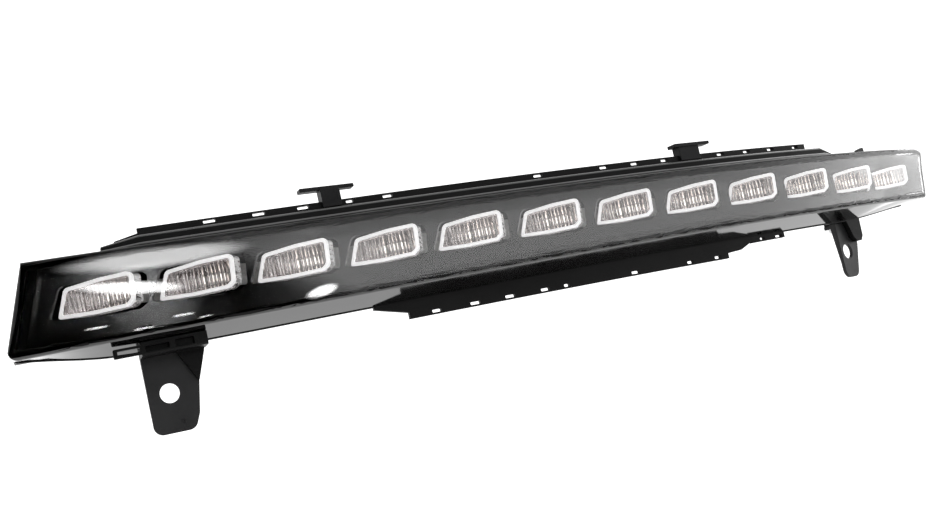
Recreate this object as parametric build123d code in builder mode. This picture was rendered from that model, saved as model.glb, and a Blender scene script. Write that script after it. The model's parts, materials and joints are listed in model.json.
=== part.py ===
from build123d import *
import math
import os

# ---------------------------------------------------------------------------
# Curved bumper-corner indicator lamp: clear lens, twelve light eyes, black housing
# Millimetres, +Z up, +X along the lamp, +Y to the rear.
# Origin: centre of the left bracket's bolt hole on the plate's front face.
#
# Working coordinates along the lamp:
#   s  distance along the row of eyes, 0 at the first eye
#   o  distance behind the row (negative = towards the front)
#   z  height above the eye centres
# ---------------------------------------------------------------------------

# row of eyes in plan: heading angle of the curve in degrees = A2 s^2 + A1 s + A0
HEAD_A2, HEAD_A1, HEAD_A0 = 7.0275e-5, 2.54956e-2, -12.0248
EYE_PITCH = 45.0
EYE_YAW = -40.0            # every eye faces the same way, turned from the chord
EYE_WIDTHS = [38.0, 37.8, 36.6, 35.1, 33.4, 31.9, 30.3, 29.1, 28.0, 26.8, 24.5, 25.0]
EYE_HEIGHTS = [15.7, 15.45, 15.2, 14.95, 14.7, 14.45, 14.2, 13.95, 13.7, 13.45, 13.2, 11.9]
EYE_SHIFT = [0.0] * 10 + [0.4, -2.0]
EYE_DROP = [-0.4] * 9 + [-0.7, -1.1, -1.6]
EYE_ASIDE = -1.0           # every eye's offset along its own width
FRAME_WALL, FRAME_DEPTH = 1.5, 2.0
OPTIC_DEPTH = 10.0         # back face of the optic, from the frame's front
CUP_DEPTH = 20.0           # back face of the reflector cup
FLUTES, FLUTE_RISE = [1.3, 2.1, 1.6, 2.7, 1.4, 1.9], 0.5
RIB_PITCH, RIB_GAP, RIB_CUT = 2.3, 1.0, 0.9
BOARD_T, BOARD_H, BOARD_PAD = 1.0, 10.0, 13.0
LED_SIZE, LED_T = 3.0, 1.2

# lens
LENS_T = 2.5
LENS_FRONT = -14.0
LENS_FOOT = 5.0            # rear edge of the lens walls
FOOT_DROP, FOOT_DROP_LEFT, FOOT_DROP_RIGHT = 4.6, -1.8, 0.0   # drop of the underside towards the rear: middle, ends
LEFT_END, RIGHT_END, RAKE = -35.9, 522.5, 0.315
END_ROUND_LEFT = 4.0       # lower left corner, seen from the front
END_ROUND_S, END_ROUND_Z = 17.4, 10.5   # upper right corner: elliptic
LEFT_CORNER_R, RIGHT_CORNER_R = 3.5, 12.0

# housing
SHOULDER = 6.4             # front face of the housing behind the lens foot
BACK = 35.5                # rear wall, outside
FLANGE_O1, FLANGE_O2 = 6.2, 8.8
FLANGE_RISE = 10.8
RIM_RISE = 6.8

# brackets
ORG_S, ORG_O, ORG_Z = 22.8, 10.0, -48.8
PLATE_T = 2.0
BOLT_HOLE_R = 4.5
R_HOLE_S, R_HOLE_Z = 443.8, -41.8
FOOT_L_Z, FOOT_R_Z = -29.0, -24.6
FOOT_R_S = 451.2
FOOT_SCREWS = [(19.6, 20.0, FOOT_L_Z), (35.6, 20.0, FOOT_L_Z), (FOOT_R_S - 4.6, 16.4, FOOT_R_Z), (FOOT_R_S + 4.6, 16.4, FOOT_R_Z)]

os.makedirs("parts", exist_ok=True)


# ------------------------------------------------------------------ geometry
def heading(s):
    return math.radians(HEAD_A2 * s * s + HEAD_A1 * s + HEAD_A0)


def row_xy(s):
    n = 80
    h = s / n
    x = y = 0.0
    for i in range(n + 1):
        w = 1 if i in (0, n) else (4 if i % 2 else 2)
        a = heading(i * h)
        x += w * math.cos(a)
        y += w * math.sin(a)
    return x * h / 3, y * h / 3


_ox, _oy = row_xy(ORG_S)
_oa = heading(ORG_S)
_ox, _oy = _ox - ORG_O * math.sin(_oa), _oy + ORG_O * math.cos(_oa)


def pt(s, o, z):
    x, y = row_xy(s)
    a = heading(s)
    return Vector(x - o * math.sin(a) - _ox, y + o * math.cos(a) - _oy, z - ORG_Z)


def station(s):
    """Cross-section plane: local x = towards the rear, local y = up."""
    a = heading(s)
    return Plane(origin=pt(s, 0, 0), x_dir=(-math.sin(a), math.cos(a), 0),
                 z_dir=(math.cos(a), math.sin(a), 0))


def wall_plane(s, o):
    """Plane along the lamp at s: local x = along the row, local y = up, normal to the front."""
    a = heading(s)
    return Plane(origin=pt(s, o, 0), x_dir=(math.cos(a), math.sin(a), 0),
                 z_dir=(math.sin(a), -math.cos(a), 0))


def back_plane(s, o):
    """Plane along the lamp at s with its normal to the rear: local x runs to the left."""
    a = heading(s)
    return Plane(origin=pt(s, o, 0), x_dir=(-math.cos(a), -math.sin(a), 0),
                 z_dir=(-math.sin(a), math.cos(a), 0))


def top(s):
    return 2.9901e-5 * s * s - 2.28657e-2 * s + 17.281


def bot(s):
    return 1.8601e-5 * s * s + 1.40526e-3 * s - 23.6155


def foot_drop(s):
    """How far the underside drops from its front edge to the lens foot."""
    a = min(1.0, max(0.0, (s + 50) / 60))
    b = min(1.0, max(0.0, (530 - s) / 90))
    left = FOOT_DROP_LEFT + (FOOT_DROP - FOOT_DROP_LEFT) * a * a * (3 - 2 * a)
    right = FOOT_DROP_RIGHT + (FOOT_DROP - FOOT_DROP_RIGHT) * b * b * (3 - 2 * b)
    return left if s < 240 else right


def under(s, o):
    """Outer underside of the lens at depth o."""
    return bot(s) - foot_drop(s) * (o + 10.4) / (LENS_FOOT + 10.4)


def foot(s):
    return bot(s) - foot_drop(s)


def spread(s0, s1, n):
    return [s0 + (s1 - s0) * i / (n - 1) for i in range(n)]


def poly_section(s, pts):
    with BuildSketch(station(s)) as sk:
        with BuildLine():
            Polyline(*pts, close=True)
        make_face()
    return sk.sketch


def lens_section(s, t):
    """Lens cross-section, inset by t from the outer skin."""
    zt = top(s) - t
    rear = LENS_FOOT if t == 0 else LENS_FOOT + 3
    o0 = -10.4 + t
    zb = under(s, o0) + t * 1.044
    zr = under(s, rear) + t * 1.044
    f = LENS_FRONT + t
    with BuildSketch(station(s)) as sk:
        with BuildLine():
            Line((o0, zt), (rear, zt))
            Line((rear, zt), (rear, zr))
            Line((rear, zr), (o0, zb))
            ThreePointArc((o0, zb), (f + 2.0, zb + 0.6), (f + 1.25, zb + 2.1))
            ThreePointArc((f + 1.25, zb + 2.1), (f, (zt + zb) / 2), (f + 1.25, zt - 2.1))
            ThreePointArc((f + 1.25, zt - 2.1), (f + 2.0, zt - 0.6), (o0, zt))
        make_face()
    return sk.sketch


def plan_outline(z, il, ir, f, rl, rr):
    """Plan outline at height z between the raked ends, insets il and ir, front at f."""
    sl, sr, b = LEFT_END + RAKE * z + il, RIGHT_END + RAKE * z - ir, 62.0
    q = math.sqrt(0.5)

    def xy(s, o):
        v = pt(s, o, 0)
        return (v.X, v.Y)

    with BuildSketch(Plane.XY.offset(z - ORG_Z)) as sk:
        with BuildLine():
            Spline(*[xy(s, f) for s in spread(sl + rl, sr - rr, 13)])
            ThreePointArc(xy(sr - rr, f), xy(sr - rr + rr * q, f + rr * (1 - q)), xy(sr, f + rr))
            Line(xy(sr, f + rr), xy(sr, b))
            Spline(*[xy(s, b) for s in spread(sr, sl, 9)])
            Line(xy(sl, b), xy(sl, f + rl))
            ThreePointArc(xy(sl, f + rl), xy(sl + rl * (1 - q), f + rl * (1 - q)), xy(sl + rl, f))
        make_face()
    return sk.sketch


def end_block(il, ir, f, rl, rr):
    """Raked block that trims a lofted body to the lamp's length and rounds its front corners."""
    with BuildPart() as blk:
        loft([plan_outline(-48, il, ir, f, rl, rr), plan_outline(40, il, ir, f, rl, rr)], ruled=True)
    return blk.part


def corner_cut(left_r, inset):
    """What is taken off to round the lower left and the upper right corner."""
    with BuildPart() as cut:
        cx, cz = RAKE * -19.6 + END_ROUND_LEFT, -19.6
        with BuildSketch(wall_plane(LEFT_END, -40)):
            with Locations((cx - 10, cz - 10)):
                Rectangle(20, 20)
            with Locations((cx, cz)):
                Circle(left_r, mode=Mode.SUBTRACT)
        extrude(amount=-110)
        cx, cz = RAKE * 3.0 - END_ROUND_S, 3.0
        with BuildSketch(wall_plane(RIGHT_END, -40)):
            with Locations((cx + 15, cz + 15)):
                Rectangle(30, 30)
            with Locations((cx, cz)):
                Ellipse(END_ROUND_S - inset, END_ROUND_Z - inset, mode=Mode.SUBTRACT)
        extrude(amount=-110)
    return cut.part


LONG = spread(-62, 556, 28)

# ---------------------------------------------------------------- outer lens
with BuildPart() as lens_core:
    loft([lens_section(s, LENS_T) for s in LONG])
    add(end_block(3.0, 3.0, LENS_FRONT - 0.4 + LENS_T, 1.5, RIGHT_CORNER_R - 2.5), mode=Mode.INTERSECT)
    add(corner_cut(END_ROUND_LEFT - 2.6, 2.6), mode=Mode.SUBTRACT)

with BuildPart() as outer_lens:
    loft([lens_section(s, 0) for s in LONG])
    add(end_block(0, 0, LENS_FRONT - 0.4, LEFT_CORNER_R, RIGHT_CORNER_R), mode=Mode.INTERSECT)
    add(corner_cut(END_ROUND_LEFT, 0), mode=Mode.SUBTRACT)
    add(lens_core.part, mode=Mode.SUBTRACT)
outer_lens.part.label = "outer_lens"
export_step(outer_lens.part, "parts/outer_lens.step")

# ----------------------------------------------------------------- lens seal
SEAL_CLEAR = 0.35


def seal_section(s, grow, o1, o2):
    zt = top(s) - grow
    zb = under(s, LENS_FOOT) + grow * 1.044
    return poly_section(s, [(o1, zt), (o2, zt), (o2, zb), (o1, zb)])


with BuildPart() as seal_core:
    loft([seal_section(s, LENS_T - SEAL_CLEAR, LENS_FOOT - 1, SHOULDER + 1) for s in LONG])
    add(end_block(2.65, 2.65, -30, 1.0, 1.0), mode=Mode.INTERSECT)
    add(corner_cut(END_ROUND_LEFT - 2.3, 2.3), mode=Mode.SUBTRACT)

with BuildPart() as lens_seal:
    loft([seal_section(s, SEAL_CLEAR, LENS_FOOT + 0.1, SHOULDER - 0.1) for s in LONG])
    add(end_block(SEAL_CLEAR, SEAL_CLEAR, -30, 1.0, 1.0), mode=Mode.INTERSECT)
    add(corner_cut(END_ROUND_LEFT - SEAL_CLEAR, SEAL_CLEAR), mode=Mode.SUBTRACT)
    add(seal_core.part, mode=Mode.SUBTRACT)
lens_seal.part.label = "lens_seal"
export_step(lens_seal.part, "parts/lens_seal.step")

# ------------------------------------------------------------------ eye data
yaw = math.radians(EYE_YAW)
ER = Vector(math.cos(yaw), math.sin(yaw), 0)
ED = Vector(-math.sin(yaw), math.cos(yaw), 0)
EYES = [pt(i * EYE_PITCH + EYE_SHIFT[i], 0, EYE_DROP[i]) + ER * EYE_ASIDE for i in range(12)]


def eye_plane(i, depth):
    """Eye's own plane at a depth behind its front: local x = its right, local y = up, normal to the front."""
    return Plane(origin=EYES[i] + ED * depth, x_dir=(ER.X, ER.Y, 0), z_dir=(-ED.X, -ED.Y, 0))


EYE_SHAPE = [(-18.9, -6.1), (-14.1, 6.25), (2.0, 7.1), (16.5, 6.7), (15.5, -5.6), (12.3, -7.9), (-3.2, -7.5)]
EYE_ROUND = [0.9, 3.0, 6.0, 2.2, 1.6, 2.0, 8.0]


def inset_polygon(pts, d):
    """Clockwise polygon moved inwards by d."""
    n, out = len(pts), []
    lines = []
    for i in range(n):
        (x1, y1), (x2, y2) = pts[i], pts[(i + 1) % n]
        ln = math.hypot(x2 - x1, y2 - y1)
        nx, ny = (y2 - y1) / ln, -(x2 - x1) / ln
        lines.append((x1 + nx * d, y1 + ny * d, (x2 - x1) / ln, (y2 - y1) / ln))
    for i in range(n):
        x1, y1, ux, uy = lines[i - 1]
        x2, y2, vx, vy = lines[i]
        t = ((x2 - x1) * vy - (y2 - y1) * vx) / (ux * vy - uy * vx)
        out.append((x1 + ux * t, y1 + uy * t))
    return out


def eye_outline(i, inset, scale=1.0, depth=0.0):
    kx = EYE_WIDTHS[i] / 35.0
    kz = EYE_HEIGHTS[i] / 15.0
    pts = inset_polygon([(x * kx, y * kz) for x, y in EYE_SHAPE], inset)
    pts = [(x * scale, y * scale) for x, y in pts]
    with BuildSketch(eye_plane(i, depth)) as sk:
        with BuildLine():
            Polyline(*pts, close=True)
        make_face()
        for p, r in zip(pts, EYE_ROUND):
            rad = max(0.35, (r * kz - inset * 0.7)) * scale
            corner = min(sk.vertices(), key=lambda q: (q.X - p[0]) ** 2 + (q.Y - p[1]) ** 2)
            fillet(corner, rad)
    return sk.sketch


# --------------------------------------------------------------- light eyes
for i in range(12):
    tag = f"{i + 1:02d}"

    with BuildPart() as eye_frame:
        extrude(eye_outline(i, 0), amount=-FRAME_DEPTH)
        extrude(eye_outline(i, FRAME_WALL), amount=-FRAME_DEPTH, mode=Mode.SUBTRACT)
    eye_frame.part.label = "eye_frame_" + tag
    export_step(eye_frame.part, f"parts/eye_frame_{tag}.step")

    # scalloped front of the optic, in plan, with uneven flutes
    edges = [-EYE_WIDTHS[i] / 2 - 3.0]
    while edges[-1] < EYE_WIDTHS[i] / 2 + 2.0:
        edges.append(edges[-1] + FLUTES[(len(edges) + i) % len(FLUTES)])
    flute_plane = Plane(origin=EYES[i] + Vector(0, 0, -14), x_dir=(ER.X, ER.Y, 0), z_dir=(0, 0, 1))
    with BuildPart() as eye_optic:
        extrude(eye_outline(i, FRAME_WALL + 0.15, depth=0.3), amount=-(FRAME_DEPTH - 0.3))
        extrude(eye_outline(i, 0.2, depth=FRAME_DEPTH), amount=-(OPTIC_DEPTH - FRAME_DEPTH))
        with BuildSketch(flute_plane):
            with BuildLine():
                for x0, x1 in zip(edges, edges[1:]):
                    ThreePointArc((x0, 0.4 + FLUTE_RISE), ((x0 + x1) / 2, 0.4), (x1, 0.4 + FLUTE_RISE))
                Polyline((edges[-1], 0.4 + FLUTE_RISE), (edges[-1], 12), (edges[0], 12), (edges[0], 0.4 + FLUTE_RISE))
            make_face()
        extrude(amount=28, mode=Mode.INTERSECT)
        # ribs on the side that shows beside the frame
        with BuildSketch(eye_plane(i, FRAME_DEPTH + 0.8)):
            with Locations(*[(16.0 * EYE_WIDTHS[i] / 35.0 + 1.0, (k - 1.5) * RIB_PITCH + 0.3) for k in range(4)]):
                Rectangle(2.0 + 2 * RIB_CUT, RIB_GAP)
        extrude(amount=-(OPTIC_DEPTH - FRAME_DEPTH), mode=Mode.SUBTRACT)
    eye_optic.part.label = "eye_optic_" + tag
    export_step(eye_optic.part, f"parts/eye_optic_{tag}.step")

    with BuildPart() as reflector_cup:
        loft([eye_outline(i, 0.3, depth=OPTIC_DEPTH), eye_outline(i, 0.3, 0.42, CUP_DEPTH)], ruled=True)
        loft([eye_outline(i, 1.5, depth=OPTIC_DEPTH - 0.01), eye_outline(i, 1.5, 0.40, CUP_DEPTH + 0.01)],
             ruled=True, mode=Mode.SUBTRACT)
    reflector_cup.part.label = "reflector_cup_" + tag
    export_step(reflector_cup.part, f"parts/reflector_cup_{tag}.step")

# ----------------------------------------------- folded board and light sources
board_path = []
for i in range(12):
    half = EYE_WIDTHS[i] / 2
    if i:
        board_path.append(EYES[i] + ER * (-half - 5.0) + ED * 13.0)
    for a in (-0.48 * half - 1.8, BOARD_PAD / 2 - (1.6 if i == 11 else 0)):
        board_path.append(EYES[i] + ER * a + ED * (CUP_DEPTH + BOARD_T / 2))

with BuildPart() as led_board:
    with BuildSketch(Plane.XY.offset(-ORG_Z - BOARD_H / 2)):
        with BuildLine():
            Polyline(*[(v.X, v.Y) for v in board_path])
        trace(line_width=BOARD_T)
    extrude(amount=BOARD_H)
led_board.part.label = "led_board"
export_step(led_board.part, "parts/led_board.step")

with BuildPart() as led_emitters:
    for i in range(12):
        with BuildSketch(eye_plane(i, CUP_DEPTH)):
            RectangleRounded(LED_SIZE, LED_SIZE, 0.4)
        extrude(amount=LED_T)
led_emitters.part.label = "led_emitters"
export_step(led_emitters.part, "parts/led_emitters.step")


# --------------------------------------------------------------------- bezel
def bezel_section(s, t):
    """Bezel cross-section: t = 0 outer skin, else wall inset."""
    zt = top(s) - 2.85 - t
    f, r = (-7.2, SHOULDER - 0.2) if t == 0 else (-9.0, SHOULDER - 2.0)
    zb_f = under(s, f) + LENS_T * 1.044 + 0.35 + t
    zb_r = under(s, r) + LENS_T * 1.044 + 0.35 + t
    return poly_section(s, [(f, zt), (r, zt), (r, zb_r), (f, zb_f)])


with BuildPart() as bezel_core:
    loft([bezel_section(s, 1.2) for s in LONG])
    add(end_block(8.6, 6.0, -30, 1.0, 1.0), mode=Mode.INTERSECT)
    add(corner_cut(END_ROUND_LEFT, 4.2), mode=Mode.SUBTRACT)

with BuildPart() as bezel:
    loft([bezel_section(s, 0) for s in LONG])
    add(end_block(7.4, 4.8, -30, 1.0, 1.0), mode=Mode.INTERSECT)
    add(corner_cut(END_ROUND_LEFT, 3.0), mode=Mode.SUBTRACT)
    add(bezel_core.part, mode=Mode.SUBTRACT)
    for i in range(12):
        extrude(eye_outline(i, -0.7, depth=-8.0), amount=-34, mode=Mode.SUBTRACT)
bezel.part.label = "bezel"
export_step(bezel.part, "parts/bezel.step")


# ------------------------------------------------------------------- housing
def shell_section(s):
    zt, zb = top(s), bot(s)
    return poly_section(s, [(SHOULDER, zt - 0.2), (9, zt - 0.2), (BACK - 4, zt - 3.5), (BACK, zt - 7),
                            (BACK, zb + 6), (BACK - 4, zb + 2.5), (9, foot(s) - 0.6), (SHOULDER, foot(s) - 0.6)])


def cavity_section(s):
    zt, zb = top(s), bot(s)
    return poly_section(s, [(SHOULDER - 1, zt - 4.4), (BACK - 5.5, zt - 6.2), (BACK - 2.5, zt - 8.6),
                            (BACK - 2.5, zb + 8), (BACK - 5.5, zb + 5), (SHOULDER - 1, zb + 1.0)])


def bar_sections(stations, o1, o2, low, high):
    return [poly_section(s, [(o1, high(s)), (o2, high(s)), (o2, low(s)), (o1, low(s))]) for s in stations]


def line(s0, z0, s1, z1):
    return lambda s: z0 + (z1 - z0) * (s - s0) / (s1 - s0)


def rim_section(s, rise):
    zt = top(s)
    k = rise / RIM_RISE
    steps = [(-2.0, 1.9), (-1.8, 2.5), (-1.4, 2.85), (-0.8, 3.0), (0.6, 3.1),
             (0.6, 5.7), (0.8, 6.3), (1.2, 6.65), (1.8, 6.8), (9.0, 7.1)]
    return poly_section(s, [(-2.0, zt + 0.35)] + [(o, zt + z * k) for o, z in steps]
                        + [(9.0, zt - 1.2), (SHOULDER + 0.05, zt - 1.2), (SHOULDER + 0.05, zt + 0.35)])


TOP_SLOTS = [(52.4, 57.9), (75.7, 81.3), (97.4, 102.7), (121.6, 125.0), (140.4, 145.2), (223.4, 228.6), (263.9, 269.2),
             (284.2, 289.4), (304.7, 309.4), (345.8, 350.8), (366.6, 371.7), (386.8, 392.2), (409.4, 414.2)]
LOW_SLOTS = [(152.8, 157.6), (173.3, 178.8), (192.6, 198.2), (213.0, 218.0), (226.6, 230.0), (268.6, 273.8),
             (306.2, 310.7), (326.0, 330.6)]
SMALL_SLOTS = [(363.2, 367.0), (376.0, 381.6)]

shell_ends = end_block(0.3, 0.3, -30, 1.0, 1.0)
with BuildPart() as shell_solid:
    loft([shell_section(s) for s in LONG])
    add(shell_ends, mode=Mode.INTERSECT)
    add(corner_cut(END_ROUND_LEFT - 0.3, 0.3), mode=Mode.SUBTRACT)

with BuildPart() as shell_cavity:
    loft([cavity_section(s) for s in LONG])
    add(end_block(11.0, 5.0, -30, 1.0, 1.0), mode=Mode.INTERSECT)

# support posts behind the folded board
with BuildPart() as board_posts:
    for i in (1, 4, 7, 10):
        with BuildSketch(eye_plane(i, CUP_DEPTH + BOARD_T)):
            Circle(3.0)
        extrude(amount=-40)
    add(shell_solid.part, mode=Mode.INTERSECT)

with BuildPart() as housing:
    add(shell_solid.part)
    add(shell_cavity.part, mode=Mode.SUBTRACT)
    add(board_posts.part)

    # stepped rim over the lens, with ramped ends
    loft([rim_section(s, r) for s, r in ((4.5, 3.8), (22.0, RIM_RISE))], ruled=True)
    loft([rim_section(s, RIM_RISE) for s in spread(22, 428, 18)])
    loft([rim_section(s, r) for s, r in ((428.0, RIM_RISE), (438.0, 2.8))], ruled=True)

    # slotted flange along the top
    def flange_top(s):
        return top(s) + FLANGE_RISE
    loft(bar_sections(spread(22, 421, 18), FLANGE_O1, FLANGE_O2, lambda s: top(s) + 3.0, flange_top))
    loft(bar_sections([11.0, 22.0], FLANGE_O1, FLANGE_O2, lambda s: top(s) + 2.0, line(11, 23.2, 22, 25.3)), ruled=True)
    for a, b in TOP_SLOTS:
        m = (a + b) / 2
        with BuildSketch(wall_plane(m, FLANGE_O1 - 0.2)):
            with Locations((0, flange_top(m) - 1.5)):
                RectangleRounded(b - a + 0.4, 1.5, 0.5)
        extrude(amount=-3.0, mode=Mode.SUBTRACT)

    # slotted skirt under the middle and its stepped ends
    loft(bar_sections([124, 141], FLANGE_O1 + 0.3, FLANGE_O2, line(124, -29.6, 141, -33.7), lambda s: bot(s) - 3.6), ruled=True)
    loft(bar_sections(spread(141, 336.5, 5), FLANGE_O1 + 0.3, FLANGE_O2, line(141, -36.9, 336.5, -35.4), lambda s: bot(s) - 3.6))
    loft(bar_sections([336.5, 347], FLANGE_O1 + 0.3, FLANGE_O2, line(336.5, -32.6, 347, -31.9), lambda s: bot(s) - 3.6), ruled=True)
    loft(bar_sections([347, 356.6], FLANGE_O1 + 0.3, FLANGE_O2, line(347, -31.9, 356.6, -28.2), lambda s: bot(s) - 3.6), ruled=True)
    loft(bar_sections([356.6, 370, 383.8], FLANGE_O1 + 0.3, FLANGE_O2, line(356.6, -29.2, 383.8, -28.6), lambda s: bot(s) - 3.6))
    for a, b in LOW_SLOTS:
        m = (a + b) / 2
        with BuildSketch(wall_plane(m, FLANGE_O1 - 0.2)):
            with Locations((0, line(141, -36.9, 336.5, -35.4)(m) + 1.6)):
                RectangleRounded(b - a, 1.5, 0.5)
        extrude(amount=-3.4, mode=Mode.SUBTRACT)
    for a, b in SMALL_SLOTS:
        m = (a + b) / 2
        with BuildSketch(wall_plane(m, FLANGE_O1 - 0.2)):
            with Locations((0, -27.5)):
                RectangleRounded(b - a, 1.3, 0.4)
        extrude(amount=-3.4, mode=Mode.SUBTRACT)

    # saddle block under the left part of the lens
    SAD = 27.6
    with BuildSketch(station(SAD)):
        with BuildLine():
            Polyline((-6.0, under(SAD, -6.0) - 0.45), (SHOULDER + 0.1, under(SAD, SHOULDER + 0.1) - 0.45),
                     (SHOULDER + 0.1, bot(SAD) - 3.4), (9.7, bot(SAD) - 3.4), (9.7, -31.4), (-5.0, -31.4), (-6.0, -30.6), close=True)
        make_face()
    extrude(amount=14.8, both=True)
    with BuildSketch(wall_plane(SAD, -6.2)):
        with Locations((-7.6, -28.6)):
            RectangleRounded(10.6, 2.6, 0.4)
        with Locations((4.6, -28.4)):
            RectangleRounded(8.4, 3.4, 0.4)
    extrude(amount=-3.2, mode=Mode.SUBTRACT)
    with BuildSketch(wall_plane(SAD, -6.0)):
        with Locations((-20.6, -28.5)):
            RectangleRounded(12.6, 4.2, 0.6)
        with Locations((-20.2, -28.4)):
            RectangleRounded(9.8, 1.8, 0.4, mode=Mode.SUBTRACT)
    extrude(amount=-2.6)

    # lug in front of the left bracket plate
    with BuildSketch(wall_plane(SAD, SHOULDER + 0.2)):
        with BuildLine():
            Polyline((1.0, -30.6), (14.2, -30.6), (13.6, -33.0), (9.2, -45.4), (8.4, -44.8), close=True)
        make_face()
    extrude(amount=-3.1)
    # pad for the left bracket's foot
    with BuildSketch(station(SAD)):
        with BuildLine():
            Polyline((13, FOOT_L_Z), (27, FOOT_L_Z), (27, bot(SAD) + 2.4), (13, bot(SAD) - 2.2), close=True)
        make_face()
    extrude(amount=12.5, both=True)

    # lug and pad for the right bracket
    RB = 447.5
    with BuildSketch(wall_plane(RB, SHOULDER + 0.1)):
        with BuildLine():
            Polyline((-4.0, bot(RB) - 3.2), (11.2, bot(RB) - 3.2), (10.6, -34.0), (8.4, -36.8), (3.6, -36.8), (0.8, -34.0), close=True)
        make_face()
    extrude(amount=-3.1)
    with BuildSketch(station(FOOT_R_S)):
        with BuildLine():
            Polyline((12.6, FOOT_R_Z), (21, FOOT_R_Z), (21, bot(RB) + 0.6), (12.6, bot(RB) - 2.2), close=True)
        make_face()
    extrude(amount=8.4, both=True)
    # small tab on top, near the outer end
    with BuildSketch(wall_plane(482, FLANGE_O1 + 1.0)):
        with BuildLine():
            Polyline((-4.0, 12.4), (4.0, 12.4), (4.0, 19.4), (2.0, 19.8), (-4.0, 18.4), close=True)
        make_face()
    extrude(amount=-2.0)

    # flat seats on the rear wall: control box, connector, vents
    CTRL, CONN = 250.0, 75.0
    with BuildSketch(back_plane(CTRL, BACK - 2.4)):
        with Locations((0, -4.9)):
            RectangleRounded(122, 22, 3)
    extrude(amount=4.4)
    with BuildSketch(back_plane(CTRL, BACK - 4)):
        with Locations((0, -4.9)):
            Circle(4.0)
    extrude(amount=8, mode=Mode.SUBTRACT)
    with BuildSketch(back_plane(CONN, BACK - 2.4)):
        with Locations((0, -3.0)):
            RectangleRounded(34, 22, 2)
    extrude(amount=3.9)
    with BuildSketch(back_plane(CONN, BACK - 5)):
        with Locations((0, -3.0)):
            RectangleRounded(24.6, 14.6, 1.5)
    extrude(amount=9, mode=Mode.SUBTRACT)
    for vs in (150.0, 385.0):
        with BuildSketch(back_plane(vs, BACK - 2.3)):
            with Locations((0, -4.5)):
                Circle(6.5)
        extrude(amount=3.3)
        with BuildSketch(back_plane(vs, BACK - 4)):
            with Locations((0, -4.5)):
                Circle(2.0)
        extrude(amount=6, mode=Mode.SUBTRACT)

    # pilot holes
    for hs, ho, hz in FOOT_SCREWS:
        v = pt(hs, ho, hz)
        with BuildSketch(Plane.XY.offset(hz - ORG_Z)):
            with Locations((v.X, v.Y)):
                Circle(2.05)
        extrude(amount=5.0, mode=Mode.SUBTRACT)
    for a in (-56, 56):
        for b in (-7.0, 7.0):
            with BuildSketch(back_plane(CTRL, BACK + 2.0)):
                with Locations((a, -4.9 + b)):
                    Circle(1.3)
            extrude(amount=-3.4, mode=Mode.SUBTRACT)
housing.part.label = "housing"
export_step(housing.part, "parts/housing.step")


# ------------------------------------------------------------------- T hooks
def hook(s, stem_l, stem_r, bar, z_low, flange_z, stem_o, bar_o):
    """Hook that straddles the flange: stem with a slot, cross bar on top."""
    with BuildPart() as h:
        with BuildSketch(wall_plane(s, stem_o[0])):
            with BuildLine():
                Polyline((stem_l - s, z_low), (stem_r - s, z_low), (stem_r - s, bar[1][1] + 0.8), (stem_l - s, bar[0][1] + 0.8), close=True)
            make_face()
        extrude(amount=stem_o[0] - stem_o[1])
        with BuildSketch(wall_plane(s, bar_o[0])) as bar_face:
            with BuildLine():
                Polyline(*[(p - s, q) for p, q in bar], close=True)
            make_face()
            fillet(bar_face.vertices(), 0.5)
        extrude(amount=bar_o[0] - bar_o[1])
        with BuildSketch(station(s)):
            with BuildLine():
                Polyline((FLANGE_O1 - 0.12, z_low - 1), (FLANGE_O2 + 0.14, z_low - 1), (FLANGE_O2 + 0.14, flange_z), (FLANGE_O1 - 0.12, flange_z), close=True)
            make_face()
        extrude(amount=20, both=True, mode=Mode.SUBTRACT)
    return h.part


with BuildPart() as top_hook_left:
    add(hook(114.0, 109.3, 118.8, [(99.4, 31.5), (126.3, 30.6), (126.3, 32.4), (99.4, 33.4)], 22.7, top(109.3) + FLANGE_RISE + 0.1,
             (3.9, 10.9), (4.3, 9.5)))
top_hook_left.part.label = "top_hook_left"
export_step(top_hook_left.part, "parts/top_hook_left.step")

with BuildPart() as top_hook_right:
    add(hook(325.0, 317.6, 331.6, [(314.4, 28.3), (339.4, 28.4), (339.4, 30.1), (314.4, 30.2)], 20.8, top(317.6) + FLANGE_RISE + 0.1,
             (4.6, 10.2), (4.0, 10.0)))
top_hook_right.part.label = "top_hook_right"
export_step(top_hook_right.part, "parts/top_hook_right.step")

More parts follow.
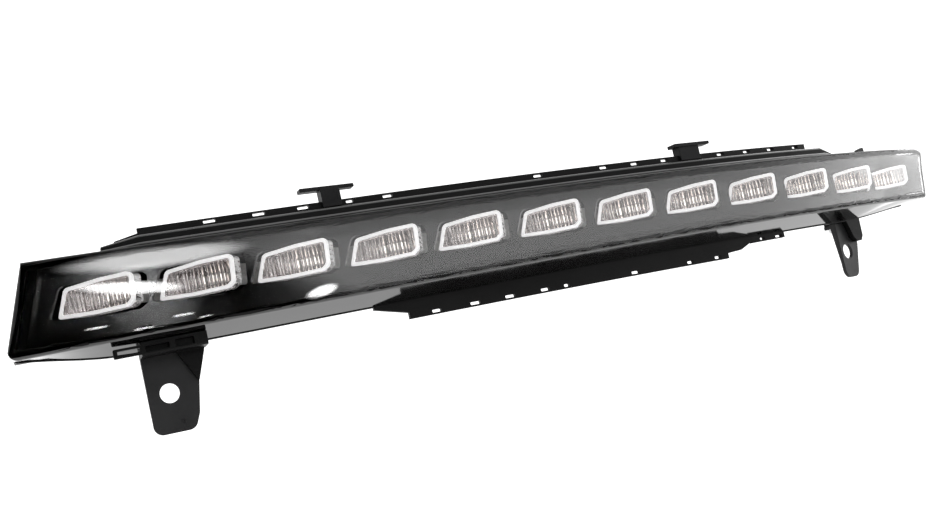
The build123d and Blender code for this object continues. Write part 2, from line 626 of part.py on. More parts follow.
# ------------------------------------------------------------------ brackets
with BuildPart() as left_bracket:
    with BuildSketch(wall_plane(ORG_S, ORG_O)) as plate_l:
        with BuildLine():
            Polyline((-10.1, FOOT_L_Z), (-9.9, -66.9), (8.7, -66.9), (11.6, -60.0), (14.1, -45.6), (18.4, FOOT_L_Z), close=True)
        make_face()
        fillet(plate_l.vertices().sort_by(Axis.Y)[0:2], 4.4)
        with Locations((0, ORG_Z)):
            Circle(BOLT_HOLE_R, mode=Mode.SUBTRACT)
    extrude(amount=-PLATE_T)
    # foot under the housing
    with BuildSketch(Plane.XY.offset(FOOT_L_Z - ORG_Z)):
        with BuildLine():
            Polyline(*[(pt(s, o, 0).X, pt(s, o, 0).Y) for s, o in ((15.0, 10.0), (40.6, 10.0), (40.6, 27.6), (15.0, 27.6))], close=True)
        make_face()
    extrude(amount=-PLATE_T)
    # stiffening return along the left edge
    with BuildSketch(station(ORG_S - 10.05)):
        with BuildLine():
            Polyline((ORG_O, FOOT_L_Z), (ORG_O + 6.5, FOOT_L_Z), (ORG_O + PLATE_T, -58.0), (ORG_O, -58.0), close=True)
        make_face()
    extrude(amount=PLATE_T)
    for hs, ho, hz in FOOT_SCREWS[:2]:
        v = pt(hs, ho, hz)
        with BuildSketch(Plane.XY.offset(FOOT_L_Z - ORG_Z)):
            with Locations((v.X, v.Y)):
                Circle(2.3)
        extrude(amount=-6, mode=Mode.SUBTRACT)
    # small locating dimple near the lower edge
    with BuildSketch(wall_plane(ORG_S, ORG_O)):
        with Locations((3.4, -62.4)):
            Circle(0.9)
    extrude(amount=-0.5, mode=Mode.SUBTRACT)
left_bracket.part.label = "left_bracket"
export_step(left_bracket.part, "parts/left_bracket.step")

with BuildPart() as right_bracket:
    with BuildSketch(wall_plane(R_HOLE_S, ORG_O)) as plate_r:
        with BuildLine():
            Polyline((-6.6, FOOT_R_Z), (-6.8, -57.2), (5.6, -57.2), (12.0, -38.0), (14.4, FOOT_R_Z), close=True)
        make_face()
        fillet(plate_r.vertices().sort_by(Axis.Y)[0:2], 5.0)
        with Locations((0, R_HOLE_Z)):
            Circle(BOLT_HOLE_R, mode=Mode.SUBTRACT)
    extrude(amount=-PLATE_T)
    with BuildSketch(Plane.XY.offset(FOOT_R_Z - ORG_Z)):
        with BuildLine():
            Polyline(*[(pt(s, o, 0).X, pt(s, o, 0).Y) for s, o in ((442.6, 10.0), (459.8, 10.0), (459.8, 21.4), (442.6, 21.4))], close=True)
        make_face()
    extrude(amount=-PLATE_T)
    with BuildSketch(station(R_HOLE_S - 6.6)):
        with BuildLine():
            Polyline((ORG_O, FOOT_R_Z), (ORG_O + 4.0, FOOT_R_Z), (ORG_O + PLATE_T, -50.0), (ORG_O, -50.0), close=True)
        make_face()
    extrude(amount=1.5)
    for hs, ho, hz in FOOT_SCREWS[2:]:
        v = pt(hs, ho, hz)
        with BuildSketch(Plane.XY.offset(FOOT_R_Z - ORG_Z)):
            with Locations((v.X, v.Y)):
                Circle(2.3)
        extrude(amount=-6, mode=Mode.SUBTRACT)
right_bracket.part.label = "right_bracket"
export_step(right_bracket.part, "parts/right_bracket.step")

with BuildPart() as bracket_screws:
    for hs, ho, hz in FOOT_SCREWS:
        v = pt(hs, ho, hz - PLATE_T)
        with BuildSketch(Plane.XY.offset(v.Z)):
            with Locations((v.X, v.Y)):
                Circle(2.0)
        extrude(amount=6.6)
        with BuildSketch(Plane.XY.offset(v.Z)):
            with Locations((v.X, v.Y)):
                Circle(4.0)
        extrude(amount=-2.4)
        with BuildSketch(Plane.XY.offset(v.Z - 2.4)):
            with Locations((v.X, v.Y)):
                RegularPolygon(1.9, 6)
        extrude(amount=1.4, mode=Mode.SUBTRACT)
bracket_screws.part.label = "bracket_screws"
export_step(bracket_screws.part, "parts/bracket_screws.step")

# --------------------------------------------------------------- control box
CZ = -4.9
SEAT = BACK + 2.0
with BuildPart() as cover_gasket:
    with BuildSketch(back_plane(CTRL, SEAT)):
        with Locations((0, CZ)):
            RectangleRounded(103, 20.5, 2.5)
            RectangleRounded(98.4, 15.9, 1.2, mode=Mode.SUBTRACT)
    extrude(amount=1.2)
cover_gasket.part.label = "cover_gasket"
export_step(cover_gasket.part, "parts/cover_gasket.step")

with BuildPart() as control_cover:
    with BuildSketch(back_plane(CTRL, SEAT + 1.2)):
        with Locations((0, CZ)):
            RectangleRounded(121, 21.4, 2.8)
    extrude(amount=2.0)
    with BuildSketch(back_plane(CTRL, SEAT + 3.2)):
        with Locations((0, CZ)):
            RectangleRounded(102, 19.4, 2.2)
    extrude(amount=9.0)
    fillet(control_cover.faces().filter_by(Axis((0, 0, 0), back_plane(CTRL, 0).z_dir)).sort_by(
        Axis((0, 0, 0), back_plane(CTRL, 0).z_dir))[-1].edges(), 1.2)
    # cooling ribs on the rear face
    for k in range(9):
        with BuildSketch(back_plane(CTRL, SEAT + 12.2)):
            with Locations((-40 + k * 10, CZ)):
                RectangleRounded(2.0, 13.0, 0.6)
        extrude(amount=1.6)
    with BuildSketch(back_plane(CTRL, SEAT + 1.2)):
        with Locations((0, CZ)):
            RectangleRounded(98.4, 15.8, 1.0)
    extrude(amount=9.2, mode=Mode.SUBTRACT)
    for a in (-56, 56):
        for b in (-7.0, 7.0):
            with BuildSketch(back_plane(CTRL, SEAT + 1.2)):
                with Locations((a, CZ + b)):
                    Circle(1.6)
            extrude(amount=3.0, mode=Mode.SUBTRACT)
control_cover.part.label = "control_cover"
export_step(control_cover.part, "parts/control_cover.step")

with BuildPart() as control_board:
    with BuildSketch(back_plane(CTRL, SEAT)):
        with Locations((-30, CZ), (30, CZ)):
            Circle(2.6)
    extrude(amount=3.0)
    with BuildSketch(back_plane(CTRL, SEAT + 3.0)):
        with Locations((0, CZ)):
            RectangleRounded(92, 14, 0.8)
    extrude(amount=1.6)
    with BuildSketch(back_plane(CTRL, SEAT + 4.6)):
        with Locations((-28, CZ), (-6, CZ + 1), (18, CZ)):
            Rectangle(9, 8)
        with Locations((34, CZ)):
            Circle(4.0)
    extrude(amount=3.2)
control_board.part.label = "control_board"
export_step(control_board.part, "parts/control_board.step")

with BuildPart() as cover_screws:
    for a in (-56, 56):
        for b in (-7.0, 7.0):
            with BuildSketch(back_plane(CTRL, SEAT + 3.2)):
                with Locations((a, CZ + b)):
                    Circle(1.25)
            extrude(amount=-6.2)
            with BuildSketch(back_plane(CTRL, SEAT + 3.2)):
                with Locations((a, CZ + b)):
                    Circle(2.7)
            extrude(amount=1.9)
            with BuildSketch(back_plane(CTRL, SEAT + 5.1)):
                with Locations((a, CZ + b)):
                    RegularPolygon(1.3, 6)
            extrude(amount=-1.1, mode=Mode.SUBTRACT)
cover_screws.part.label = "cover_screws"
export_step(cover_screws.part, "parts/cover_screws.step")

# ------------------------------------------------------------------ connector
KZ = -3.0
KSEAT = BACK + 1.5
with BuildPart() as connector_shell:
    with BuildSketch(back_plane(CONN, KSEAT)):
        with Locations((0, KZ)):
            RectangleRounded(32, 20.4, 2)
    extrude(amount=1.8)
    with BuildSketch(back_plane(CONN, KSEAT)):
        with Locations((0, KZ)):
            RectangleRounded(24, 14, 1.2)
    extrude(amount=-4.2)
    with BuildSketch(back_plane(CONN, KSEAT + 1.8)):
        with Locations((0, KZ)):
            RectangleRounded(25, 15, 2)
    extrude(amount=15.0)
    with BuildSketch(back_plane(CONN, KSEAT + 1.8)):
        with Locations((0, KZ)):
            RectangleRounded(21.4, 11.4, 1)
    extrude(amount=15.0, mode=Mode.SUBTRACT)
    # latch ramp on top of the shroud
    with BuildSketch(back_plane(CONN, KSEAT + 7.0)):
        with Locations((0, KZ + 8.2)):
            Rectangle(6, 1.6)
    extrude(amount=5.0)
    for a in (-6.0, 0.0, 6.0):
        for b in (-2.4, 2.4):
            with BuildSketch(back_plane(CONN, KSEAT + 2.0)):
                with Locations((a, KZ + b)):
                    Circle(0.75)
            extrude(amount=-7, mode=Mode.SUBTRACT)
connector_shell.part.label = "connector_shell"
export_step(connector_shell.part, "parts/connector_shell.step")

with BuildPart() as connector_pins:
    for a in (-6.0, 0.0, 6.0):
        for b in (-2.4, 2.4):
            with BuildSketch(back_plane(CONN, KSEAT - 6.0)):
                with Locations((a, KZ + b)):
                    Circle(0.75)
            extrude(amount=17.0)
connector_pins.part.label = "connector_pins"
export_step(connector_pins.part, "parts/connector_pins.step")

# ---------------------------------------------------------------------- vents
with BuildPart() as vent_caps:
    for vs in (150.0, 385.0):
        with BuildSketch(back_plane(vs, BACK + 1.0)):
            with Locations((0, -4.5)):
                Circle(5.4)
        extrude(amount=3.0, taper=6)
        with BuildSketch(back_plane(vs, BACK + 1.0)):
            with Locations((0, -4.5)):
                Circle(1.85)
        extrude(amount=-4.0)
vent_caps.part.label = "vent_caps"
export_step(vent_caps.part, "parts/vent_caps.step")
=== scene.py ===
import json
import math

import bpy
from mathutils import Matrix, Vector

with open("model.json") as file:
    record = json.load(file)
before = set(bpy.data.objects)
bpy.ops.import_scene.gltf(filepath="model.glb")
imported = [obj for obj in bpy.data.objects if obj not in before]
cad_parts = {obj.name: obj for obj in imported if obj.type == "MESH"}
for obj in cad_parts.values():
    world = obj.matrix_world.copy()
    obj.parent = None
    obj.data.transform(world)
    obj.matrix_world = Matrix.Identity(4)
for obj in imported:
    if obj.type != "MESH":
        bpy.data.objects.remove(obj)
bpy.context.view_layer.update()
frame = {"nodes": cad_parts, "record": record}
NODES = frame["nodes"]
scene = bpy.context.scene
scene.view_settings.view_transform = "Standard"
scene.view_settings.look = "None"
scene.view_settings.exposure = 0.0
scene.view_settings.gamma = 1.0

# ------------------------------------------------------------------ camera
cam_data = bpy.data.cameras.new("camera")
cam_data.sensor_width = 36.0
cam_data.lens = 1400.0 / 935.0 * 36.0
cam_data.clip_start = 0.01
cam_data.clip_end = 50.0
cam = bpy.data.objects.new("camera", cam_data)
scene.collection.objects.link(cam)
right = Vector((0.8628603, -0.45687712, -0.21618373))
up = Vector((0.1369646, -0.20035781, 0.97010177))
back = Vector((-0.4865314, -0.86667182, -0.1103048))
place = Vector((-0.183447, -0.622209, -0.039637))
cam.matrix_world = Matrix((
    (right.x, up.x, back.x, place.x),
    (right.y, up.y, back.y, place.y),
    (right.z, up.z, back.z, place.z),
    (0, 0, 0, 1)))
scene.camera = cam


# --------------------------------------------------------------- materials
def material(name, **values):
    """A principled material with constant values on its own sockets."""
    mat = bpy.data.materials.new(name)
    mat.use_nodes = True
    nt = mat.node_tree
    bsdf = nt.nodes["Principled BSDF"]
    for key, value in values.items():
        bsdf.inputs[key.replace("_", " ")].default_value = value
    return mat, nt, bsdf


def coords(nt, scale=(1, 1, 1), turn=(0, 0, 0)):
    tc = nt.nodes.new("ShaderNodeTexCoord")
    mp = nt.nodes.new("ShaderNodeMapping")
    mp.inputs["Scale"].default_value = scale
    mp.inputs["Rotation"].default_value = turn
    nt.links.new(tc.outputs["Object"], mp.inputs["Vector"])
    return mp.outputs["Vector"]


def noise(nt, vec, scale, detail=3.0, rough=0.55):
    n = nt.nodes.new("ShaderNodeTexNoise")
    n.inputs["Scale"].default_value = scale
    n.inputs["Detail"].default_value = detail
    n.inputs["Roughness"].default_value = rough
    nt.links.new(vec, n.inputs["Vector"])
    return n.outputs["Fac"]


def spread(nt, fac, lo, hi, a=0.3, b=0.7):
    m = nt.nodes.new("ShaderNodeMapRange")
    m.inputs["From Min"].default_value = a
    m.inputs["From Max"].default_value = b
    m.inputs["To Min"].default_value = lo
    m.inputs["To Max"].default_value = hi
    nt.links.new(fac, m.inputs["Value"])
    return m.outputs["Result"]


def two_tone(nt, fac, c1, c2, a=0.35, b=0.65):
    r = nt.nodes.new("ShaderNodeValToRGB")
    r.color_ramp.elements[0].position = a
    r.color_ramp.elements[0].color = (*c1, 1)
    r.color_ramp.elements[1].position = b
    r.color_ramp.elements[1].color = (*c2, 1)
    nt.links.new(fac, r.inputs["Fac"])
    return r.outputs["Color"]


def bump(nt, height, strength, distance, normal=None):
    b = nt.nodes.new("ShaderNodeBump")
    b.inputs["Strength"].default_value = strength
    b.inputs["Distance"].default_value = distance
    nt.links.new(height, b.inputs["Height"])
    if normal is not None:
        nt.links.new(normal, b.inputs["Normal"])
    return b.outputs["Normal"]


def plastic(name, dark, light, rough_lo, rough_hi, specular, grain=2600.0, depth=0.00004, strength=0.25):
    """Moulded plastic: fine grain, faint flow marks, uneven sheen."""
    mat, nt, bsdf = material(name, Specular_IOR_Level=specular)
    vec = coords(nt)
    flow = noise(nt, coords(nt, (6, 40, 60)), 1.0, 4.0)
    nt.links.new(two_tone(nt, flow, dark, light), bsdf.inputs["Base Color"])
    nt.links.new(spread(nt, noise(nt, vec, 90.0, 5.0), rough_lo, rough_hi), bsdf.inputs["Roughness"])
    nt.links.new(bump(nt, noise(nt, vec, grain, 2.0), strength, depth, soft_edge(nt)), bsdf.inputs["Normal"])
    return mat


def soft_edge(nt, radius=0.0005):
    """Moulded and pressed edges are slightly round."""
    b = nt.nodes.new("ShaderNodeBevel")
    b.samples = 4
    b.inputs["Radius"].default_value = radius
    return b.outputs["Normal"]


M = {}
M["black_plastic"] = plastic("housing_plastic", (0.0028, 0.0028, 0.0028), (0.0055, 0.0055, 0.0055), 0.34, 0.5, 0.07)
M["rim_plastic"] = plastic("housing_rim", (0.0034, 0.0034, 0.0034), (0.006, 0.006, 0.006), 0.18, 0.28, 0.8)
M["hook_plastic"] = plastic("hook_plastic", (0.004, 0.004, 0.0045), (0.008, 0.008, 0.0085), 0.36, 0.5, 0.1)
M["connector_plastic"] = plastic("socket_plastic", (0.012, 0.012, 0.013), (0.02, 0.02, 0.021), 0.38, 0.52, 0.4)
M["seal_rubber"] = plastic("seal_rubber", (0.008, 0.008, 0.008), (0.014, 0.014, 0.014), 0.7, 0.85, 0.25, 1400.0)
M["vent_rubber"] = plastic("vent_rubber", (0.012, 0.012, 0.012), (0.02, 0.02, 0.02), 0.6, 0.78, 0.3, 1400.0)

# glossy black inner panel, with the slight waviness of a moulded surface
mat, nt, bsdf = material("bezel_gloss", Specular_IOR_Level=0.3)
vec = coords(nt)
nt.links.new(two_tone(nt, noise(nt, vec, 30.0), (0.003, 0.003, 0.003), (0.006, 0.006, 0.006)), bsdf.inputs["Base Color"])
nt.links.new(spread(nt, noise(nt, vec, 60.0, 4.0), 0.08, 0.16), bsdf.inputs["Roughness"])
nt.links.new(bump(nt, noise(nt, vec, 120.0, 2.0), 0.015, 0.0003), bsdf.inputs["Normal"])
M["gloss_black"] = mat

def calc(nt, op, a, b):
    n = nt.nodes.new("ShaderNodeMath")
    n.operation = op
    for k, v in enumerate((a, b)):
        if isinstance(v, (int, float)):
            n.inputs[k].default_value = v
        else:
            nt.links.new(v, n.inputs[k])
    return n.outputs[0]


def series(nt, x, terms):
    v = terms[0]
    for t in terms[1:]:
        v = calc(nt, "ADD", calc(nt, "MULTIPLY", v, x), t)
    return v


def swept_front(nt):
    """Normal of the crowned, swept front of the lens, worked out from the place on it, on either skin."""
    sep = nt.nodes.new("ShaderNodeSeparateXYZ")
    nt.links.new(coords(nt), sep.inputs[0])
    x, z = sep.outputs["X"], sep.outputs["Z"]
    turn = series(nt, x, (1.12802, -0.401608, -0.0958018, 1.22012, 0.518287, -0.196742))
    middle = series(nt, x, (0.0005098, 0.0240113, -0.0094377, 0.0453631))
    crown = series(nt, x, (-2.36637, 4.49136, 10.1401, 7.66202))
    tilt = calc(nt, "MULTIPLY", calc(nt, "SUBTRACT", z, middle), crown)
    join = nt.nodes.new("ShaderNodeCombineXYZ")
    nt.links.new(calc(nt, "SINE", turn, 0.0), join.inputs["X"])
    nt.links.new(calc(nt, "MULTIPLY", calc(nt, "COSINE", turn, 0.0), -1.0), join.inputs["Y"])
    nt.links.new(tilt, join.inputs["Z"])
    geo = nt.nodes.new("ShaderNodeNewGeometry")
    dot = nt.nodes.new("ShaderNodeVectorMath")
    dot.operation = "DOT_PRODUCT"
    nt.links.new(join.outputs[0], dot.inputs[0])
    nt.links.new(geo.outputs["True Normal"], dot.inputs[1])
    side = nt.nodes.new("ShaderNodeVectorMath")
    side.operation = "SCALE"
    nt.links.new(join.outputs[0], side.inputs[0])
    nt.links.new(calc(nt, "SIGN", dot.outputs["Value"], 0.0), side.inputs["Scale"])
    unit = nt.nodes.new("ShaderNodeVectorMath")
    unit.operation = "NORMALIZE"
    nt.links.new(side.outputs[0], unit.inputs[0])
    return unit.outputs[0]


# clear lens: polished, with a trace of moulding waviness and handling haze
for key, swept in (("clear_lens", True), ("clear_end", False)):
    mat, nt, bsdf = material("lens_clear" if swept else "lens_clear_end", Base_Color=(1, 1, 1, 1),
                             Transmission_Weight=1.0, IOR=1.49)
    vec = coords(nt)
    nt.links.new(spread(nt, noise(nt, vec, 45.0, 6.0, 0.65), 0.0, 0.035, 0.45, 0.8), bsdf.inputs["Roughness"])
    nt.links.new(bump(nt, noise(nt, coords(nt, (9, 9, 30)), 1.0, 1.0), 0.02, 0.001, swept_front(nt) if swept else None),
                 bsdf.inputs["Normal"])
    M[key] = mat

# the lens's rim is moulded in black
mat, nt, bsdf = material("lens_border", Specular_IOR_Level=0.9)
vec = coords(nt)
nt.links.new(two_tone(nt, noise(nt, vec, 40.0), (0.002, 0.002, 0.002), (0.004, 0.004, 0.004)), bsdf.inputs["Base Color"])
nt.links.new(spread(nt, noise(nt, vec, 70.0, 4.0), 0.05, 0.12), bsdf.inputs["Roughness"])
nt.links.new(bump(nt, noise(nt, vec, 60.0, 1.0), 0.05, 0.0006), bsdf.inputs["Normal"])
M["lens_border"] = mat

# its upper and left edges are duller
M["lens_edge"] = plastic("lens_edge", (0.003, 0.003, 0.003), (0.0055, 0.0055, 0.0055), 0.3, 0.42, 0.1)

# fluted optics
mat, nt, bsdf = material("optic_clear", Base_Color=(0.985, 0.975, 0.97, 1), Transmission_Weight=1.0, IOR=1.5)
vec = coords(nt)
nt.links.new(spread(nt, noise(nt, vec, 300.0, 4.0), 0.01, 0.09), bsdf.inputs["Roughness"])
nt.links.new(bump(nt, noise(nt, coords(nt, (900, 900, 90)), 1.0, 2.0), 0.12, 0.0003), bsdf.inputs["Normal"])
M["clear_optic"] = mat

# their ribbed sides; the emission on them is a painted glow that brightens them, they are no lamp
mat, nt, bsdf = material("optic_side_painted_glow", Base_Color=(0.95, 0.95, 0.95, 1), Transmission_Weight=0.45, IOR=1.5,
                         Emission_Color=(1, 1, 1, 1), Emission_Strength=0.16)
vec = coords(nt)
nt.links.new(spread(nt, noise(nt, vec, 300.0, 4.0), 0.15, 0.3), bsdf.inputs["Roughness"])
nt.links.new(bump(nt, noise(nt, coords(nt, (90, 90, 900)), 1.0, 2.0), 0.2, 0.0004), bsdf.inputs["Normal"])
M["optic_side_painted_glow"] = mat

# white frames; their emission is a painted glow that brightens them, they are no lamp
mat, nt, bsdf = material("frame_white_painted_glow", Specular_IOR_Level=0.5, Coat_Weight=0.3, Coat_Roughness=0.08,
                         Emission_Color=(1.0, 0.985, 0.99, 1), Emission_Strength=0.6)
vec = coords(nt)
nt.links.new(two_tone(nt, noise(nt, vec, 160.0), (0.90, 0.895, 0.89), (0.97, 0.968, 0.965)), bsdf.inputs["Base Color"])
nt.links.new(spread(nt, noise(nt, vec, 420.0, 4.0), 0.18, 0.32), bsdf.inputs["Roughness"])
nt.links.new(bump(nt, noise(nt, vec, 900.0), 0.05, 0.0001), bsdf.inputs["Normal"])
M["white_frame"] = mat

# metallised cups: uneven upright facets in the bump of a warm grey mirror coat, whose colour carries painted reflection
# streaks, dark to light
mat, nt, bsdf = material("cup_silver", Metallic=1.0)
facet_and_painted_streaks = noise(nt, coords(nt, (620, 0.001, 26), (0, 0, math.radians(40))), 1.0, 3.0, 0.7)
# painted reflection streaks: the facet pattern also sets the coat's colour from dark grey-brown to near white
nt.links.new(two_tone(nt, facet_and_painted_streaks, (0.22, 0.19, 0.186), (0.92, 0.88, 0.875), 0.30, 0.64), bsdf.inputs["Base Color"])
nt.links.new(spread(nt, noise(nt, coords(nt), 500.0, 4.0), 0.14, 0.32), bsdf.inputs["Roughness"])
nt.links.new(bump(nt, facet_and_painted_streaks, 0.5, 0.0006), bsdf.inputs["Normal"])
M["silver_cup"] = mat

# coated metal-core boards
mat, nt, bsdf = material("board_coated", Specular_IOR_Level=0.45)
vec = coords(nt)
nt.links.new(two_tone(nt, noise(nt, vec, 500.0, 2.0), (0.62, 0.62, 0.60), (0.78, 0.78, 0.76)), bsdf.inputs["Base Color"])
nt.links.new(spread(nt, noise(nt, vec, 300.0), 0.3, 0.45), bsdf.inputs["Roughness"])
nt.links.new(bump(nt, noise(nt, vec, 1500.0), 0.1, 0.0001), bsdf.inputs["Normal"])
M["board"] = mat

# LED emitters: yellow phosphor; their emission is a painted glow, which also lights the cups and optics
mat, nt, bsdf = material("emitter_phosphor_painted_glow", Emission_Color=(1.0, 0.95, 0.94, 1), Emission_Strength=1.8, Roughness=0.35)
vec = coords(nt)
nt.links.new(two_tone(nt, noise(nt, vec, 1500.0), (0.86, 0.78, 0.42), (0.95, 0.90, 0.62)), bsdf.inputs["Base Color"])
nt.links.new(bump(nt, noise(nt, vec, 2500.0), 0.1, 0.0001), bsdf.inputs["Normal"])
M["emitter"] = mat

# black coated sheet steel: fine orange peel, slight wear
mat, nt, bsdf = material("bracket_coat", Specular_IOR_Level=0.22)
vec = coords(nt)
nt.links.new(two_tone(nt, noise(nt, vec, 70.0, 6.0), (0.006, 0.006, 0.0065), (0.011, 0.011, 0.0115)), bsdf.inputs["Base Color"])
nt.links.new(spread(nt, noise(nt, vec, 140.0, 5.0), 0.34, 0.52), bsdf.inputs["Roughness"])
nt.links.new(bump(nt, noise(nt, vec, 1100.0, 3.0), 0.22, 0.00008, soft_edge(nt)), bsdf.inputs["Normal"])
M["bracket_steel"] = mat

# zinc plated screws
mat, nt, bsdf = material("screw_zinc", Metallic=1.0)
vec = coords(nt)
nt.links.new(two_tone(nt, noise(nt, vec, 700.0), (0.42, 0.42, 0.43), (0.58, 0.58, 0.57)), bsdf.inputs["Base Color"])
nt.links.new(spread(nt, noise(nt, vec, 900.0), 0.25, 0.42), bsdf.inputs["Roughness"])
nt.links.new(bump(nt, noise(nt, vec, 2200.0), 0.12, 0.0001), bsdf.inputs["Normal"])
M["screw_steel"] = mat

# die-cast cover
mat, nt, bsdf = material("cover_cast", Metallic=1.0)
vec = coords(nt)
nt.links.new(two_tone(nt, noise(nt, vec, 260.0, 5.0), (0.44, 0.44, 0.45), (0.60, 0.60, 0.605)), bsdf.inputs["Base Color"])
nt.links.new(spread(nt, noise(nt, vec, 420.0, 5.0), 0.42, 0.62), bsdf.inputs["Roughness"])
nt.links.new(bump(nt, noise(nt, vec, 1300.0, 4.0), 0.35, 0.00015), bsdf.inputs["Normal"])
M["cover_metal"] = mat

mat, nt, bsdf = material("pin_tinned", Metallic=1.0)
vec = coords(nt)
nt.links.new(two_tone(nt, noise(nt, vec, 900.0), (0.70, 0.66, 0.52), (0.85, 0.82, 0.70)), bsdf.inputs["Base Color"])
nt.links.new(spread(nt, noise(nt, vec, 900.0), 0.2, 0.34), bsdf.inputs["Roughness"])
M["pin_metal"] = mat

slot_of = {p["node"]: p["material_slot"] for p in frame["record"]["subparts"]}
for name, obj in NODES.items():
    mat = M[slot_of[name]]
    if not obj.material_slots:
        obj.data.materials.append(mat)
    for s in obj.material_slots:
        s.material = mat

# lens: the window is clear, the walls, ends and rounded edges are black
def heading(s):
    return math.radians(7.0275e-5 * s * s + 2.54956e-2 * s - 12.0248)


ROW = []
x = y = 0.0
for k in range(-70, 571):
    ROW.append([k, heading(k)])
zero = 70
xs = [0.0] * len(ROW)
ys = [0.0] * len(ROW)
for k in range(zero + 1, len(ROW)):
    a = heading(ROW[k][0] - 0.5)
    xs[k], ys[k] = xs[k - 1] + math.cos(a), ys[k - 1] + math.sin(a)
for k in range(zero - 1, -1, -1):
    a = heading(ROW[k][0] + 0.5)
    xs[k], ys[k] = xs[k + 1] - math.cos(a), ys[k + 1] - math.sin(a)
a = heading(22.8)
x0 = xs[zero + 22] + 0.8 * math.cos(a) - 10.0 * math.sin(a)
y0 = ys[zero + 22] + 0.8 * math.sin(a) + 10.0 * math.cos(a)


def on_row(p):
    """Distance along the row, distance behind it and its heading, for a point in metres."""
    px, py = p.x * 1000 + x0, p.y * 1000 + y0
    k = min(range(len(ROW)), key=lambda j: (xs[j] - px) ** 2 + (ys[j] - py) ** 2)
    a = ROW[k][1]
    return ROW[k][0], -(px - xs[k]) * math.sin(a) + (py - ys[k]) * math.cos(a), a


lens = NODES["outer_lens"]
lens.data.materials.append(M["lens_border"])
lens.data.materials.append(M["lens_edge"])
lens.data.materials.append(M["clear_end"])
for poly in lens.data.polygons:
    s, o, a = on_row(poly.center)
    face = poly.normal.x * math.sin(a) - poly.normal.y * math.cos(a)
    if abs(face) > (0.95 if s < 490 else 0.6) and o < -6.0:
        poly.material_index = 0 if abs(face) > 0.95 and s < 490 else 3
    else:
        poly.material_index = 1 if poly.normal.z < -0.5 or s > 505 else 2

# the optics' right-hand sides with the ribs
for name, obj in NODES.items():
    if name.startswith("eye_optic"):
        obj.data.materials.append(M["optic_side_painted_glow"])
        along = [on_row(poly.center)[0] for poly in obj.data.polygons]
        for poly, at in zip(obj.data.polygons, along):
            if at > max(along) - 3.0:
                poly.material_index = 1

# the rounded edges of the rim above the lens have more gloss
shell = NODES["housing"]
shell.data.materials.append(M["rim_plastic"])
for poly in shell.data.polygons:
    if poly.center.z > 0.0595 and poly.normal.z > 0.12 and on_row(poly.center)[1] < 5.5:
        poly.material_index = 1

# ------------------------------------------------------------------- stage
world = bpy.data.worlds.new("studio")
scene.world = world
world.use_nodes = True
world.node_tree.nodes["Background"].inputs["Color"].default_value = (1, 1, 1, 1)
world.node_tree.nodes["Background"].inputs["Strength"].default_value = 1.5


def sheet_mesh(name, corners, mat):
    me = bpy.data.meshes.new(name)
    me.from_pydata([tuple(c) for c in corners], [], [tuple(range(len(corners)))])
    ob = bpy.data.objects.new(name, me)
    me.materials.append(mat)
    scene.collection.objects.link(ob)
    return ob


mat, nt, bsdf = material("floor_white", Roughness=0.8, Specular_IOR_Level=0.2)
vec = coords(nt)
nt.links.new(two_tone(nt, noise(nt, vec, 3.0), (0.86, 0.86, 0.86), (0.88, 0.88, 0.88)), bsdf.inputs["Base Color"])
floor = sheet_mesh("floor", [(-6, -6, -0.65), (6, -6, -0.65), (6, 6, -0.65), (-6, 6, -0.65)], mat)

def direction(az, el):
    a, e = math.radians(az), math.radians(el)
    return Vector((math.sin(a) * math.cos(e), -math.cos(a) * math.cos(e), math.sin(e)))


HUB = Vector((0.05, -0.03, 0.05))


def card(name, az0, az1, el0, el1, mat, far=2.5, nu=40, nv=24):
    """A curved studio card round the lamp; its UV holds its own azimuth and elevation in degrees."""
    verts = [HUB + direction(az0 + (az1 - az0) * i / nu, el0 + (el1 - el0) * j / nv) * far
             for j in range(nv + 1) for i in range(nu + 1)]
    faces = [(j * (nu + 1) + i, j * (nu + 1) + i + 1, (j + 1) * (nu + 1) + i + 1, (j + 1) * (nu + 1) + i)
             for j in range(nv) for i in range(nu)]
    me = bpy.data.meshes.new(name)
    me.from_pydata([tuple(v) for v in verts], [], faces)
    uv = me.uv_layers.new(name="card")
    for loop in me.loops:
        i, j = loop.vertex_index % (nu + 1), loop.vertex_index // (nu + 1)
        uv.data[loop.index].uv = (az0 + (az1 - az0) * i / nu, el0 + (el1 - el0) * j / nv)
    me.materials.append(mat)
    ob = bpy.data.objects.new(name, me)
    scene.collection.objects.link(ob)
    ob.visible_camera = False
    ob.visible_diffuse = False
    ob.visible_shadow = False
    return ob


def feathered(name, colour, strength):
    """Card material: an emitter that fades to nothing; returns the nodes and the socket of its fade."""
    mat = bpy.data.materials.new(name)
    mat.use_nodes = True
    nt = mat.node_tree
    nt.nodes.clear()
    out = nt.nodes.new("ShaderNodeOutputMaterial")
    mix = nt.nodes.new("ShaderNodeMixShader")
    clear = nt.nodes.new("ShaderNodeBsdfTransparent")
    glow = nt.nodes.new("ShaderNodeEmission")
    glow.inputs["Color"].default_value = (*colour, 1)
    glow.inputs["Strength"].default_value = strength
    nt.links.new(clear.outputs[0], mix.inputs[1])
    nt.links.new(glow.outputs[0], mix.inputs[2])
    nt.links.new(mix.outputs[0], out.inputs["Surface"])
    uv = nt.nodes.new("ShaderNodeUVMap")
    uv.uv_map = "card"
    return mat, nt, uv.outputs["UV"], mix.inputs["Fac"]


def fade(nt, value, lo, hi, out_lo, out_hi, socket):
    m = nt.nodes.new("ShaderNodeMapRange")
    m.interpolation_type = "SMOOTHSTEP"
    m.inputs["From Min"].default_value = lo
    m.inputs["From Max"].default_value = hi
    m.inputs["To Min"].default_value = out_lo
    m.inputs["To Max"].default_value = out_hi
    nt.links.new(value, m.inputs["Value"])
    nt.links.new(m.outputs["Result"], socket)


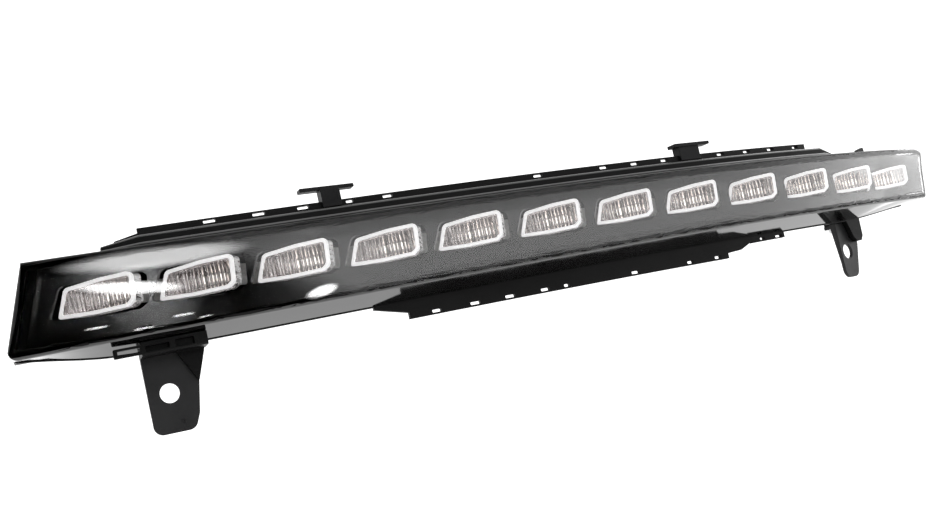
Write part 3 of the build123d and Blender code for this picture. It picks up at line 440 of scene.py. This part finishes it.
# dark flag beside the camera with a slanting soft edge, seen only in the gloss
mat, nt, uv, fac = feathered("flag_dark", (0.0, 0.0, 0.0), 0.0)
dot = nt.nodes.new("ShaderNodeVectorMath")
dot.operation = "DOT_PRODUCT"
dot.inputs[1].default_value = (2.2, 0.6, 0.0)
nt.links.new(uv, dot.inputs[0])
fade(nt, dot.outputs["Value"], 3.0, 17.0, 1.0, 0.0, fac)
card("flag", -85, 18, -14, 46, mat, nu=60)

# thin shade above, which darkens the upper part of the lens a little
mat, nt, uv, fac = feathered("shade_dark", (0.0, 0.0, 0.0), 0.0)
sep = nt.nodes.new("ShaderNodeSeparateXYZ")
nt.links.new(uv, sep.inputs[0])
fade(nt, sep.outputs["Y"], 9.0, 26.0, 0.0, 0.32, fac)
card("shade", 0, 75, 8, 40, mat, far=2.7)


def softbox(name, az, el, half_long, half_wide, turn, strength):
    """A small bright panel with soft edges."""
    mat, nt, uv, fac = feathered(name + "_glow", (1.0, 1.0, 1.0), strength)
    mp = nt.nodes.new("ShaderNodeMapping")
    mp.vector_type = "TEXTURE"
    mp.inputs["Location"].default_value = (az, el, 0)
    mp.inputs["Rotation"].default_value = (0, 0, math.radians(turn))
    mp.inputs["Scale"].default_value = (half_long, half_wide, 1)
    nt.links.new(uv, mp.inputs["Vector"])
    ln = nt.nodes.new("ShaderNodeVectorMath")
    ln.operation = "LENGTH"
    nt.links.new(mp.outputs["Vector"], ln.inputs[0])
    fade(nt, ln.outputs["Value"], 0.45, 1.0, 1.0, 0.0, fac)
    r = max(half_long, half_wide) + 0.5
    return card(name, az - r, az + r, el - r, el + r, mat, far=2.4, nu=16, nv=16)


softbox("softbox_a", -9.1, 9.3, 6.2, 2.3, -49.0, 16.0)
softbox("softbox_b", 5.8, -7.4, 1.5, 3.4, -12.0, 20.0)
softbox("softbox_c", -6.5, 20.6, 8.5, 5.5, -13.0, 8.0)
for k, (az, el, long, wide) in enumerate(((-12.1, -4.7, 1.0, 0.45), (-8.8, -8.6, 0.9, 0.4), (-5.7, -6.1, 1.0, 0.5), (-4.0, -8.6, 0.7, 0.35))):
    softbox("glint_%d" % k, az, el, long, wide, -8.0, 15.0)

# large bright panel at the outer side of the lamp
mat, nt, uv, fac = feathered("side_panel_glow", (1.0, 1.0, 1.0), 2.5)
sep = nt.nodes.new("ShaderNodeSeparateXYZ")
nt.links.new(uv, sep.inputs[0])
fade(nt, sep.outputs["X"], 53.0, 86.0, 0.0, 1.0, fac)
card("side_panel", 34, 125, -13, 40, mat, far=2.6, nu=40)
